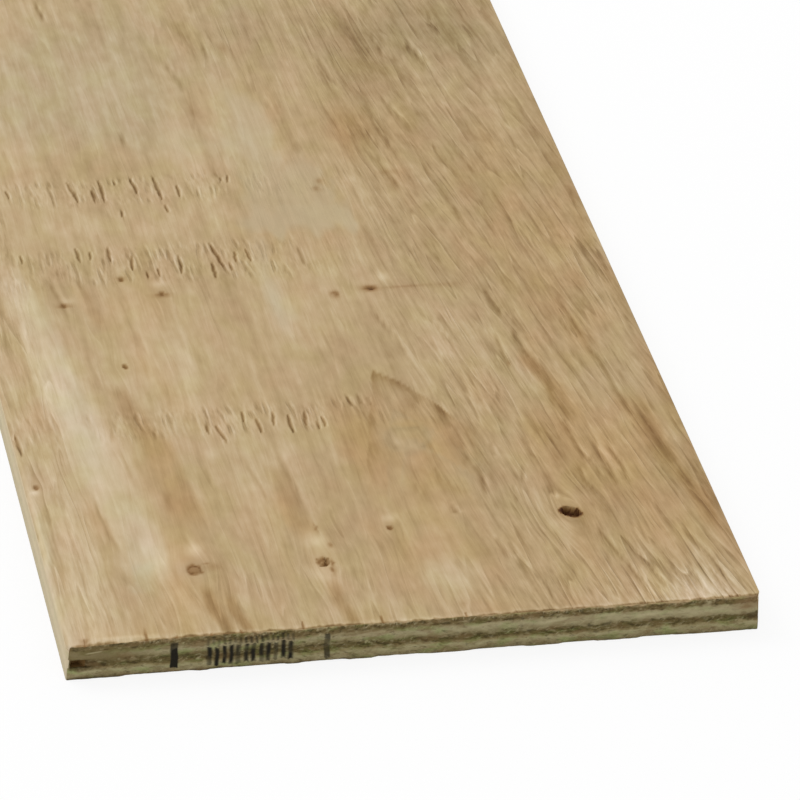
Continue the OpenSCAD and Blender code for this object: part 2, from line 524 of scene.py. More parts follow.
def face_surface(x, y):
    """The height in mm of the face over the point (x, y), y counted from the front edge."""
    line = grain_line(x, y)
    torn, lips = torn_depth(x, y)
    ridges = swell(line / 1.7, y / 45, 41)
    ripple = swell(line / 7, y / 160, 42)
    depth = REST_DEPTH + RIDGE_DEPTH * ridges + RIPPLE_DEPTH * ripple - LIP_HEIGHT * lips
    depth += CHECK_DEPTH * np.maximum(torn, NICK_SHARE * nick_depth(x, y)) + knot_depth(x, y)
    return TOP - np.clip(depth, 0, KNOTHOLE_FLOOR) - edge_depth(x, y)


print("height over the knothole:", round(float(face_surface(*KNOTHOLE)), 1), "mm")

# %% [markdown]
# ## What colour the face has where
# Slow changes of tone are kept on the mesh, as one number for each point, and the fine
# streaks are drawn by the material. Each stain is a soft patch, listed one by one: where
# it is, how far it reaches, how much lighter it is and how much browner. Sapwood is pale,
# heartwood is brown, and the preservative leaves a green cast.

# %% Stains
# x, y, reach across, reach along, lighter (+) or darker (-), browner (+) or greyer (-)
STAINS = [
    (-141, 50, 12, 110, 0.18, 0.0),
    (-151.8, 30, 2.0, 90, 0.20, -0.2),
    (-150, 60, 3, 60, 0.0, -0.8),
    (-140, 20, 30, 24, 0.04, 0.0),
    (-96, 25, 8, 20, 0.08, 0.4),
    (-95, 58, 9, 18, 0.06, 0.4),
    (-88, 50, 7, 6, 0.0, -0.6),
    (-80, 20, 8, 20, -0.03, 0.3),
    (-75, 200, 10, 40, 0.05, 0.3),
    (-117, 240, 9, 40, 0.06, -0.2),
    (0, 55, 170, 90, 0.0, 0.28),
    (1, 40, 9, 26, -0.03, 0.1),
    (22, 30, 12, 12, 0.12, -0.6),
    (4, 150, 12, 45, -0.02, 0.35),
    (28, 150, 18, 36, -0.05, 0.4),
    (28, 110, 14, 40, -0.03, 0.4),
    (-14, 262, 6, 28, 0.12, -0.8),
    (-16, 175, 16, 30, -0.03, 0.15),
    (-2, 410, 14, 28, 0.08, -0.6),
    (22, 370, 18, 60, -0.06, 0.0),
    (-70, 470, 50, 62, 0.07, -1.4),
    (-90, 396, 45, 9, -0.05, 0.4),
    (-80, 340, 40, 9, 0.07, 0.0),
    (-12, 525, 6, 24, -0.16, 0.6),
    (10, 470, 10, 30, -0.08, 0.3),
    (24, 520, 22, 34, -0.08, 0.1),
    (55, 425, 34, 30, -0.10, 0.4),
    (66, 475, 18, 22, -0.10, 0.0),
    (80, 520, 26, 42, -0.18, -0.2),
    (130, 530, 22, 44, -0.18, -0.3),
    (0, 545, 160, 70, 0.0, -0.6),
    (128, 490, 36, 70, 0.0, -0.5),
    (115, 330, 40, 160, -0.10, 0.35),
    (149, 300, 4, 220, -0.10, 0.2),
    (74, 270, 18, 60, -0.05, 0.0),
    (108, 120, 30, 46, -0.05, 0.45),
    (124, 74, 20, 36, -0.05, 0.3),
    (84, 140, 14, 26, -0.05, 0.2),
    (128, 8, 12, 13, 0.34, -0.4),
    (107, 14, 9, 16, 0.07, 0.0),
]
print(len(STAINS), "stains")

# %% [markdown]
# Broad streaks of sapwood and heartwood run with the grain. Each goes from a far point to a
# near one, so the lean of the grain is in its two ends.

# %% Broad streaks
# x and y of the far end, x and y of the near end, half width, lighter, browner
BROAD_STREAKS = [
    (-134, 320, -125, 194, 9.0, 0.17, -0.6), (-126, 228, -114, 92, 10.5, 0.24, -0.7),
    (-114, 116, -108, 40, 9.0, 0.20, -0.7), (-108, 60, -114, 30, 5.5, 0.06, -0.7),
    (-101, 205, -94, 150, 5.0, -0.12, 0.4), (-92, 170, -85, 78, 6.5, -0.08, 0.5),
    (-86, 42, -83, -14, 2.8, -0.20, 0.4), (-77, 34, -74, -14, 1.9, -0.17, 0.4),
    (-41, 132, -38, 62, 5.0, -0.08, 0.4), (-31, 38, -28, -14, 3.0, -0.19, 0.4),
    (92, 216, 104, 138, 4.2, -0.13, 0.5), (130, 175, 139, 95, 6.5, -0.12, 0.5),
    (139, 110, 147, 50, 3.6, -0.10, 0.5), (118, 250, 125, 190, 3.0, -0.06, 0.2),
    (-4, 196, -2, 120, 8.0, -0.01, 0.2), (-20, 480, -14, 430, 6.0, -0.08, 0.4),
    (-104, 300, -98, 245, 4.0, -0.06, 0.3), (40, 330, 44, 285, 3.0, -0.05, 0.1),
]
print(len(BROAD_STREAKS), "broad streaks")


def stain(x, y):
    """The tone and the cast of each point: the sum of all stains and streaks there. A
    streak is flat across and falls off at its sides and ends."""
    tone = 0.03 * wander(x / 30, y / 70, 51) + 0.04 * wander(x / 11, y / 50, 52)
    cast = 0.10 + 0.25 * wander(x / 17, y / 45, 53) + 0.15 * wander(x / 7, y / 18, 55)
    bent = x + 2 * wander(y / 25, 0, 54)
    for *spot, lighter, browner in STAINS:
        patch = mound(bent, y, *spot)
        tone += lighter * patch
        cast += browner * patch
    for x_far, y_far, x_near, y_near, half, lighter, browner in BROAD_STREAKS:
        share = (y - y_near) / (y_far - y_near)
        aside = np.abs(bent - x_near - (x_far - x_near) * share)
        aside += 1.4 * wander(x / 3, y / 16, 56)
        streak = ease((1.5 * half - aside) / (1.1 * half)) * ease(share * 4) * ease((1 - share) * 4)
        tone += lighter * streak
        cast += browner * streak
    return tone, cast


# %% [markdown]
# In the middle of the sheet lies a patch of grey sapwood. It ends abruptly, where the next
# ring begins.

# %% The grey patch
# x of the left and right side, y of the near and far side, strength
GREY_PARTS = [
    (-18, 42, 322, 362, 0.9), (-14, 34, 340, 398, 0.7), (-44, 8, 402, 430, 0.5),
    (-8, 16, 380, 470, 0.7), (-20, -6, 240, 330, 0.5),
]


def grey_patch(x, y):
    """From 0 to 1 how grey a point is: soft boxes with wandering sides, joined by the
    largest of their values."""
    x_bent = x + 4 * wander(x / 6, y / 12, 57)
    y_bent = y + 9 * wander(x / 6, y / 20, 58)
    grey = np.zeros_like(x)
    for left, right, near, far, strength in GREY_PARTS:
        across = ease((x_bent - left) / 9) * ease((right - x_bent) / 4)
        along = ease((y_bent - near) / 10) * ease((far - y_bent) / 16)
        grey = np.maximum(grey, strength * across * along)
    return grey


# %% [markdown]
# Where the knife grazes a growth ring it draws an arch. The rings lie inside each other with
# one axis, so one number, how far a point lies below the outermost arch, gives them all. The
# arch comes to a point, is steeper on its left side, and its axis leans with the grain. Deep
# inside it the knife met a ring head on, and that one closes to an eye.

# %% Arches of the growth rings
ARCH_TOP = (21.0, 200.0)
ARCH_LEAN = 0.055
ARCH_STEEP_LEFT = 2.9
ARCH_STEEP_RIGHT = 1.15
ARCH_OPEN = 0.022
ARCH_LEFT_SHARE = 0.5
# how far below the top, how far it takes to fade, lighter, browner
ARCHES = [(0, 13, -0.27, 0.5), (34, 6, -0.06, -0.5), (58, 7, -0.06, -0.8), (84, 8, -0.06, 0.3)]
EYE = (24.5, 141.0)
EYE_R = 9.5


def arches(x, y):
    """Tone and cast of the arches. The height of the arch through a point is top - y -
    steep * |aside| - open * aside^2, and each arch fades away below its edge and to the left."""
    aside = x - ARCH_TOP[0] - ARCH_LEAN * (ARCH_TOP[1] - y) + 1.2 * wander(x / 7, y / 14, 61)
    steep = np.where(aside > 0, ARCH_STEEP_RIGHT, ARCH_STEEP_LEFT)
    below = ARCH_TOP[1] - y - steep * np.abs(aside) - ARCH_OPEN * aside**2
    fade = ease((y - 60) / 60) * ease((34 - np.abs(aside)) / 12) * (0.8 + 0.5 * wander(x / 4, y / 9, 63))
    fade *= ARCH_LEFT_SHARE + (1 - ARCH_LEFT_SHARE) * ease((aside + 7) / 7)
    tone = np.zeros_like(x)
    cast = np.zeros_like(x)
    for start, width, lighter, browner in ARCHES:
        ring = ease((below - start + 1.2) / 2.4) * np.exp(-np.clip(below - start, 0, None) / width)
        tone += lighter * ring * fade
        cast += browner * ring * fade
    far = distance(x, y, EYE) / EYE_R + 0.12 * wander(x / 5, y / 5, 64)
    eye = np.exp(-(((far - 1) / 0.16) ** 2))
    return tone - 0.09 * eye, cast - 0.5 * eye - 0.5 * ease((1.1 - far) / 0.4)


# %% [markdown]
# Some grain lines stand out by themselves: a dark line of latewood with a light ridge on
# its right. Each is a straight stroke from its far end to its near end.

# %% Strokes of latewood
# x and y of the far end, x and y of the near end, half width, darkness
STROKES = [
    (97, 152, 101, 112, 1.3, 0.34), (102, 118, 105, 98, 1.1, 0.22), (107, 130, 111, 90, 1.2, 0.26),
    (113, 128, 117, 92, 1.0, 0.28), (95, 110, 99, 85, 1.0, 0.22), (134, 152, 140, 105, 2.2, 0.20),
    (140, 106, 146, 58, 1.5, 0.16), (93, 62, 99, 32, 1.0, 0.26), (99, 34, 105, 2, 1.0, 0.32),
    (101, 60, 113, 10, 0.9, 0.22), (131, 58, 142, 6, 1.3, 0.32), (60, 134, 61, 122, 1.0, 0.22),
    (70, 112, 68.5, 100, 0.9, 0.24), (51, 118, 50.5, 92, 1.2, 0.24), (52, 55, 53, 43, 1.0, 0.20),
    (47, 60, 49, 40, 1.0, 0.24), (63, 98, 63, 86, 0.9, 0.20), (60, 25, 62, 2, 0.9, 0.26),
    (68, 30, 70, 4, 0.9, 0.20), (75, 140, 78, 118, 1.0, 0.16), (31, 89, 34, 78, 1.5, 0.32),
    (29, 252, 36, 228, 1.0, 0.20), (36, 230, 38, 206, 1.0, 0.18), (55, 242, 63, 214, 1.0, 0.16),
    (86, 266, 90, 238, 1.2, 0.32), (90.5, 227, 95, 200, 1.5, 0.30), (94.5, 205, 100, 168, 1.6, 0.16),
    (83, 224, 84, 198, 0.9, 0.26), (119, 254, 124, 214, 1.3, 0.28), (124, 218, 131, 142, 1.4, 0.28),
    (116, 236, 119, 216, 0.9, 0.20), (6, 314, 6, 294, 0.9, 0.34), (43, 170, 47.5, 144, 1.5, 0.22),
    (72, 196, 75, 172, 0.9, 0.20), (63, 190, 65, 165, 0.9, 0.18), (67, 416, 70, 398, 1.0, 0.18),
    (80, 520, 86, 492, 1.2, 0.26), (98, 505, 104, 480, 1.4, 0.30), (113, 538, 119, 512, 1.2, 0.24),
    (50, 500, 54, 462, 1.2, 0.14), (74, 455, 80, 425, 1.2, 0.16), (60, 420, 66, 396, 1.0, 0.18),
    (101, 400, 106, 370, 1.2, 0.18), (60, 395, 66, 360, 1.2, 0.18), (88, 345, 92, 310, 1.2, 0.18),
    (-83, 570, -81, 550, 1.0, 0.40), (-6, 520, -4, 500, 1.0, 0.30), (-61, 430, -60, 418, 1.2, 0.28),
    (-30, 505, -20, 466, 1.4, 0.16), (12, 470, 18, 440, 1.4, 0.16), (-37, 140, -31, 74, 1.3, 0.12),
    (-52, 132, -47, 96, 1.0, 0.12), (-125, 120, -119, 60, 1.1, 0.16), (-146, 110, -143, 78, 1.0, 0.14),
    (47, 150, 48.5, 118, 1.2, 0.18), (20, 106, 20, 98, 1.2, 0.16), (31.5, 116, 31.5, 109, 1.0, 0.2),
    (3.4, 181, 5.2, 170, 0.8, 0.40), (8.6, 181, 10, 171, 0.8, 0.34), (13, 178, 14, 170, 0.7, 0.26),
    (118, 30, 122, 1, 0.9, 0.24), (125, 28, 130, 1, 1.0, 0.30), (134, 26, 138, 1, 0.9, 0.26),
    (-127, 50, -125, 8, 1.0, 0.14), (-134, 40, -130, 12, 1.0, 0.14), (-116, 300, -112, 256, 1.3, 0.20),
]
print(len(STROKES), "strokes")


def strokes(x, y):
    """How much the strokes darken a point: a bell across each, eased out at both ends. The
    light ridge is the same bell set 1.8 half widths to the right."""
    tone = np.zeros_like(x)
    for x_far, y_far, x_near, y_near, half, darkness in STROKES:
        share = (y - y_near) / (y_far - y_near)
        middle = x_near + (x_far - x_near) * share + 0.5 * wander(y / 9, 0, 62)
        ends = ease(share * 5) * ease((1 - share) * 5)
        aside = (x - middle) / half
        dark = np.exp(-(aside**2)) - 0.55 * np.exp(-((aside - 1.8) ** 2))
        tone -= darkness * dark * ends
    return 0.85 * tone


# %% [markdown]
# The torn wood beside a slit is brown and rough, and shade falls into the slit, so a soft
# band of brown and painted shade goes along each of them.

# %% Brown and painted shade round the slits
# how far the brown and the painted shade reach beyond a slit, in mm
SHADE_BESIDE = 0.5


def slit_brown_and_shade(x, y):
    """The brown and the painted shade round the slits: a bell across each, a little wider
    than the slit.
    """
    shade = np.zeros_like(x)
    for slit in CHECKS:
        _, aside, half = slit_depth(x, y, slit, min(CHECK_W, slit[2] * CHECK_SLIM))
        bell = np.exp(-((aside / (0.6 * half + SHADE_BESIDE)) ** 2))
        shade = np.maximum(shade, bell * ease(half / 0.25))
    return shade


# %% [markdown]
# The knots are brown, and the open hole is nearly black, because dirt and shadow gather
# there. The nicks and a few small spots are dark too.

# %% Dark places
# x, y, reach across, reach along, darkness
DARK_SPOTS = [
    (-65, 276.5, 4.2, 1.5, 0.50), (-112, 272, 2.8, 1.5, 0.50), (33.5, 271.5, 3.8, 2.2, 0.9),
    (16, 268.5, 1.8, 3.0, 0.62), (70, 271, 8, 2.2, 0.16), (50, 271, 14, 1.0, 0.22),
    (26, 366, 1.8, 2.5, 0.34), (28.5, 373, 1.6, 2.5, 0.34), (84, 198.5, 1.2, 2.5, 0.34),
    (-82, 293, 2.8, 2.4, 0.40), (22, 11, 3.0, 2.0, 0.24), (64, 366, 3, 7, 0.18),
    (-30.5, 75, 0.8, 4, 0.42), (-27.1, 61.4, 0.9, 1.8, 0.42), (-81, 51, 3.8, 3.4, 0.24),
    (-31.4, 48.6, 0.9, 1.5, 1.0), (-32.3, 51.4, 0.9, 1.1, 0.85), (-83, 53.6, 2.2, 0.9, 0.34),
    (-28.4, 47.2, 0.9, 2.6, 0.56), (-29.2, 42.4, 0.9, 2.4, 0.60), (5, 511, 2.0, 3.0, 0.3),
    (65, 378, 8, 3, 0.14), (-144.2, 2.6, 1.7, 1.5, 0.42), (-117.6, 4.5, 0.9, 2.5, 0.30),
]


def dark_places(x, y):
    """From 0 to 1 how dark a point is from nicks, knots and spots. In the knothole the dark is
    dirt and painted shade, less on its right, where a pool of light is painted.
    """
    wobble = 0.7 * wander(x / 1.9, y / 1.9, 72)
    far = from_knothole(x, y) + wobble
    # painted light: a paler patch on the right of the knothole, where light falls into it
    lit = 0.25 * mound(x, y, KNOTHOLE[0] + 2.2, KNOTHOLE[1] + 0.4, 1.2, 1.6)
    dark = np.maximum(0.5 * nick_depth(x, y), (1.05 - lit) * ease((KNOTHOLE_R + 1.5 - far) / 1.2))
    far = distance(x, y, LOOSE_KNOT) + wobble
    dark = np.maximum(dark, (0.52 + 0.3 * wander(x, y, 71)) * ease((LOOSE_KNOT_R + 0.5 - far) / 1.5))
    far = distance(x, y, TIGHT_KNOT, TIGHT_KNOT_SQUASH) + wobble
    dark = np.maximum(dark, 0.42 * ease((TIGHT_KNOT_R - 0.1 - far) / 1.8))
    open_ring = 0.68 + 0.25 * wander(x / 2.5, y / 2.5, 73)
    dark = np.maximum(dark, open_ring * np.exp(-(((far - TIGHT_KNOT_R + 1.6) / 1.1) ** 2)))
    for place, strength in zip(PIN_KNOTS, PIN_DARKNESS):
        far = distance(x, y, place, PIN_KNOT_SQUASH) + 0.4 * wobble
        dark = np.maximum(dark, strength * ease((PIN_KNOT_R + 0.5 - far) / 1.3))
    for *spot, strength in DARK_SPOTS:
        dark = np.maximum(dark, strength * mound(x + wobble, y, *spot))
    return np.clip(dark, 0, 1)


# %% [markdown]
# Round each knot the wood is pale, above all on its far side. The lips of the slits catch
# the light, so a highlight is painted on them, and painted shade darkens the slits. The front
# edge of the face is furry with torn fibres, and along its rounded arris it is darker, partly
# from the treated edge's colour and partly from painted shade.

# %% Pale places
# x, y, reach across, reach along, lighter
PALE_BESIDE = [
    (81.3, 87.6, 1.6, 2.2, 0.24), (85, 85.9, 1.8, 2.2, 0.24), (78.9, 92.7, 2.5, 3.5, -0.12),
    (78.5, 65.4, 4, 5, 0.14), (-33, 65, 4.5, 5.5, 0.22), (-36, 41, 5.5, 7, 0.14),
    (-86.5, 65.5, 4.2, 5.5, 0.28), (3, 79, 3.0, 4, 0.28), (30.5, 86, 2.2, 4, 0.16),
    (-65, 287, 4.5, 3.5, 0.20), (-110, 276, 4, 3, 0.14), (41, 281, 4, 5, 0.22),
    (-149, 117.5, 1.8, 2, 0.34), (-126, 3.2, 15, 1.3, 0.16), (24, 264, 11, 8, 0.08),
    (-66, 140, 2, 8, 0.16), (-33, 135, 4, 6, 0.12), (-94, 200, 5, 14, 0.08),
    (62, 122, 5, 10, 0.06),
]


def pale_places(x, y):
    """How much lighter a point is beside a knot, on a lifted lip, where a highlight is painted,
    or on the furry front edge, and how much darker it is in and round a slit, where shade is
    painted, and along the front arris, partly with painted shade."""
    torn, lips = torn_depth(x, y)
    # painted highlight on the lifted lips, and painted shade in and along the slits
    pale = 0.20 * lips - 0.06 * torn - 0.34 * slit_brown_and_shade(x, y)
    pale += ease(1 - y / 4) * (0.10 + 0.14 * wander(x / 1.2, y / 3, 74))
    # a dark strip along the front arris: partly the treated edge's colour, partly painted shade
    worn = 1.5 + 0.7 * wander(x / 9, 0, 75) + 0.5 * wander(x / 1.8, 0, 76)
    pale -= 0.50 * ease((worn - y) / 1.3)
    for *spot, lighter in PALE_BESIDE:
        pale += lighter * mound(x, y, *spot)
    return pale


# %% [markdown]
# ## Building the plies as closed meshes
# A ply is a plate. Its rim goes round the sheet, and the saw left it rough: end grain is
# pitted, and long grain is furrowed. The rows of the rim are one array, carried round a
# path. The face and the back also have a grid that shows, and every hidden side is one flat
# polygon.


# %% Rounded corners
def round_corners(x, y, radii):
    """Pulls points that lie outside a corner's arc onto it. radii holds the radius of the
    front left, front right, back right and back left corners."""
    signs = [(-1, -1), (1, -1), (1, 1), (-1, 1)]
    for (side, end), radius in zip(signs, radii):
        from_x = side * x - (HALF_W - radius)
        from_y = end * y - (HALF_L - radius)
        far = np.hypot(from_x, from_y)
        outside = (from_x > 0) & (from_y > 0) & (far > radius)
        pull = np.where(outside, radius / np.maximum(far, 1e-6), 1.0)
        x = np.where(outside, side * (HALF_W - radius + from_x * pull), x)
        y = np.where(outside, end * (HALF_L - radius + from_y * pull), y)
    return x, y


# %% [markdown]
# The rim is carried round a path of evenly spaced points. At each of them it needs the
# direction into the wood, because the saw ate the edge away inwards.

# %% The path round a ply
def walk(corners, step):
    """Points about one step apart along the closed line through the corners."""
    start = np.array(corners, float)
    stop = np.roll(start, -1, axis=0)
    legs = []
    for a, b in zip(start, stop):
        count = max(1, round(np.hypot(*(b - a)) / step))
        share = np.arange(count)[:, None] / count
        legs.append(a + (b - a) * share)
    return np.concatenate(legs)


def inward(path):
    """The unit vector that points into the sheet at each point of a path that runs
    anticlockwise: the tangent turned left by a quarter turn."""
    tangent = np.roll(path, -1, axis=0) - np.roll(path, 1, axis=0)
    tangent /= np.maximum(np.hypot(*tangent.T), 1e-9)[:, None]
    return np.stack([-tangent[:, 1], tangent[:, 0]], axis=1)


# %% [markdown]
# A roughness of a tenth of a millimetre or two is worth making as shape, because it breaks
# the straight outline of the edges. The noise is laid along the rim and down it.

# %% How rough the saw left an edge
# from 0 to 1, how squarely a point must face an end to have the wood of the ends
END_FACING = 0.65
END_WEAR = 0.06
PIT_DEPTH = 0.18
DENT_DEPTH = 0.10
FURROW_DEPTH = 0.10
TEAR_DEPTH = 0.6
SIDE_ROUGH = 0.10
SIDE_SEED = 91


def sawn(run, z, end_grain, seed):
    """The depth in mm that an edge is eaten away: end grain by pits a millimetre across and
    long grain by furrows along it, and both by broad dents and a few tears."""
    if end_grain:
        pits = PIT_DEPTH * np.clip(wander(run / 1.3, z / 1.1, seed), 0, 1)
        pits += DENT_DEPTH * swell(run / 6, z / 3, seed + 1)
        tears = np.clip(wander(run / 3.1, z / 1.9, seed + 2) - 0.62, 0, 1)
        return 0.02 + pits + TEAR_DEPTH * tears
    furrows = FURROW_DEPTH * swell(run / 18, z / 0.7, seed + 3)
    furrows += DENT_DEPTH * swell(run / 9, z / 4, seed + 4)
    tears = np.clip(wander((run + 0.7 * z) / 5, z / 3, seed + 5) - 0.7, 0, 1)
    return furrows + TEAR_DEPTH * tears


def rim_rows(path, z_top, z_bottom, count, grain_on_ends, seed):
    """Rows of points down the rim. On the ends each ply is rough in its own way and worn at
    its arrises, and the long sides are one even saw cut through all the plies."""
    inner = inward(path)
    ends = ease((np.abs(inner[:, 1]) - END_FACING) / 0.3)
    share = np.linspace(0, 1, count)[:, None]
    run = path.sum(axis=1) + 0 * share
    z = z_top + (z_bottom - z_top) * share + 0 * run
    rough = sawn(run, z, grain_on_ends, seed) + END_WEAR * np.abs(2 * share - 1) ** 6
    even = SIDE_ROUGH * swell(run / 18, z / 5, SIDE_SEED)
    inset = even + (rough - even) * ends
    x = path[:, 0] + inner[:, 0] * inset
    y = path[:, 1] + inner[:, 1] * inset
    return np.stack([x, y, z], axis=2)


# %% [markdown]
# Faces are made by counting: each takes the numbers of a point, of the point below it and of
# their two neighbours. Blender gets them all at once, which is quicker than one by one. Only
# edges sharper than 50 degrees stay sharp.

# %% From arrays to a mesh
SHARP_ANGLE = math.radians(50)


def rim_faces(numbers):
    """Four-sided faces between neighbouring rows of a closed rim, facing outward. numbers
    holds the number of each rim point, row by row from the top down."""
    beside = np.roll(numbers, -1, axis=1)
    corners = [numbers[:-1], numbers[1:], beside[1:], beside[:-1]]
    return np.stack(corners, axis=2).reshape(-1, 4)


def grid_faces(nx, ny):
    """Four-sided faces of a grid of nx by ny points, facing up."""
    here = np.arange(ny - 1)[:, None] * nx + np.arange(nx - 1)
    return np.stack([here, here + 1, here + nx + 1, here + nx], axis=2).reshape(-1, 4)


def build(name, points_mm, faces, numbers, materials, kinds):
    """Makes the object: points, faces, a number for each point under each name in numbers,
    its materials, and which of them each face has."""
    mesh = bpy.data.meshes.new(name)
    mesh.from_pydata((points_mm * MM).tolist(), [], [face.tolist() for face in faces])
    for label, values in numbers.items():
        layer = mesh.attributes.new(label, "FLOAT", "POINT")
        layer.data.foreach_set("value", np.ascontiguousarray(values, np.float32))
    for material in materials:
        mesh.materials.append(material)
    mesh.polygons.foreach_set("material_index", np.ascontiguousarray(kinds, np.int32))
    mesh.polygons.foreach_set("use_smooth", np.ones(len(mesh.polygons), bool))
    mesh.set_sharp_from_angle(angle=SHARP_ANGLE)
    mesh.update()
    mesh.calc_loop_triangles()
    piece = bpy.data.objects.new(name, mesh)
    bpy.context.scene.collection.objects.link(piece)
    print(f"{name}: {len(mesh.vertices)} points, {len(mesh.loop_triangles)} triangles")
    return piece


# %% [markdown]
# ## The wood of the face
# Growth rings are contour lines. So we take a slow noise, stretched along the grain, count
# it in steps, and use what is left over: it climbs slowly through a ring's brown latewood
# and drops back at once, as a real ring does. Shorter pits are painted darker, as painted
# shade, and have a pale lip on their right, a painted highlight, which is the same noise set
# a little aside. A ramp turns the sum of it all into pine.

# %% Face colours
PINE_STOPS = screen_stops([
    (0.00, 122, 94, 56),
    (0.25, 158, 132, 92),
    (0.50, 187, 162, 123),
    (0.70, 205, 184, 149),
    (1.00, 231, 213, 185),
])
BROWN_FILTER = (1.0, 0.91, 0.79, 1)
GREY_FILTER = (0.92, 0.96, 1.0, 1)
GREEN_FILTER = (0.96, 1.0, 0.88, 1)
PINK_FILTER = (1.0, 0.94, 0.97, 1)
RUST_FILTER = (1.0, 0.80, 0.52, 1)
DARK = screen(68, 34, 4)
GREY_WOOD = screen(190, 174, 142)
# how far to the right of a pit its pale lip, a painted highlight, stands, in mm
LIP_ASIDE = 1.3
print(len(PINE_STOPS), "stops from latewood to sapwood")


# %% Face material
def peeled_wood(name, layer):
    """Raw peeled veneer: rings and pits along the grain line, stains and dark marks."""
    finish = Finish(name)
    x, y, _ = finish.place()
    line = finish.attribute("grain_line")
    coarse = finish.attribute("coarse")
    cast = finish.attribute("cast")
    ring = (finish.noise(line / 9, y / 130, layer, detail=1.5) * 6).part()
    kept = finish.noise(line / 4, y / 40, layer + 1).rise(0.40, 0.58) * coarse
    late = ring.rise(0.35, 0.90) * (1 - ring.rise(0.93, 1.0)) * kept
    early = (1 - ring.rise(0.0, 0.22)) * kept
    broad = finish.noise(line / 7, y / 150, layer + 2)
    fine = finish.noise(line / 0.8, y / 26, layer + 3, detail=4.0)
    pit, lip = [
        finish.noise((line - aside) / 2.7, y / 20, layer + 4, detail=1.0).rise(0.52, 0.68)
        for aside in (0.0, LIP_ASIDE)
    ]
    lump = finish.noise(line / 1.3, y / 7, layer + 6, detail=2.0) - 0.5
    torn = finish.attribute("chatter") * 1.1 + coarse * 0.30
    blot = finish.noise(x / 6, y / 12, layer + 7, detail=2.0) - 0.5
    sweep = finish.noise(line / 3.2, y / 32, layer + 8, detail=1.0) - 0.5
    # pits painted darker as shade and lips painted lighter as a highlight; the same sum is bump
    relief = (lip * 0.75 - pit) * torn
    tone = finish.attribute("tone") + 0.5 + (broad - 0.5) * 0.38
    tone += (fine - 0.5) * (0.07 + coarse * 0.19) + blot * 0.25 + sweep * 0.17
    tone += early * 0.08 + relief * 0.14 - late * 0.13
    tone += lump * (coarse * 0.16 + finish.attribute("chatter") * 0.3)
    colour = finish.ramp(tone, PINE_STOPS)
    mottle = finish.noise(x / 13, y / 24, layer + 5, detail=0.0)
    colour = finish.tint(mottle.rise(0.50, 0.70) * 0.5, colour, GREEN_FILTER)
    colour = finish.tint((1 - mottle).rise(0.52, 0.72) * 0.5, colour, PINK_FILTER)
    colour = finish.tint(cast.rise(0.0, 1.0), colour, BROWN_FILTER)
    colour = finish.tint((0 - cast).rise(0.0, 1.0), colour, GREY_FILTER)
    colour = finish.mix(finish.attribute("grey") * 0.6, colour, GREY_WOOD)
    colour = finish.tint(finish.attribute("dark") * 1.6, colour, RUST_FILTER)
    colour = finish.mix(finish.attribute("dark"), colour, DARK)
    height = fine * (coarse * 0.4 + 0.2) + relief * 0.6 - late * 0.25
    return finish.wood(colour, height, roughness=0.72 - late * 0.12, relief_mm=0.4)


face_wood = peeled_wood("face_wood", 1.0)
back_wood = peeled_wood("back_wood", 31.0)
print("made", face_wood.name, "and", back_wood.name)

# %% [markdown]
# ## The wood of the edges
# The preservative soaks into end grain and turns it dark and olive, so the plies whose grain
# points out of the front and back edges are dark bands there. But the saw smears the bands
# into each other. So one ramp holds the colour of every height, and noise bends the height
# before it is looked up. The sum of x and y runs along any edge, so it places the noise.

# %% Edge colours by height in mm
SAWN_LEVELS = screen_stops([
    (0.0, 118, 106, 76), (1.4, 134, 121, 87), (2.6, 154, 142, 104),
    (4.2, 168, 158, 119), (5.4, 146, 132, 92), (6.4, 108, 94, 56),
    (8.6, 98, 86, 51), (9.6, 118, 105, 69), (10.8, 146, 135, 98),
    (12.4, 162, 151, 116), (13.8, 144, 130, 94), (14.8, 116, 99, 63),
    (16.8, 107, 90, 54), (17.5, 136, 116, 78), (18.1, 190, 162, 122),
])
# long edges: darker towards the bottom and palest at the top arris, as painted shade
SIDE_LEVELS = screen_stops([
    (0.0, 192, 179, 150), (2.2, 202, 188, 157), (6.2, 206, 191, 160),
    (9.8, 209, 193, 161), (12.4, 208, 191, 158), (14.8, 212, 193, 159),
    (18.1, 222, 203, 168),
])
EDGE_DARK = screen(52, 42, 18)
EDGE_LIGHT = screen(186, 174, 136)
EDGE_BROWN = screen(112, 96, 60)
GAP_BROWN = screen(116, 86, 46)
GAP_SHADE = screen(62, 45, 22)
RUST_BROWN = screen(128, 100, 66)
OLIVE_FILTER = (0.80, 1.0, 0.74, 1)
INK = screen(34, 31, 22)


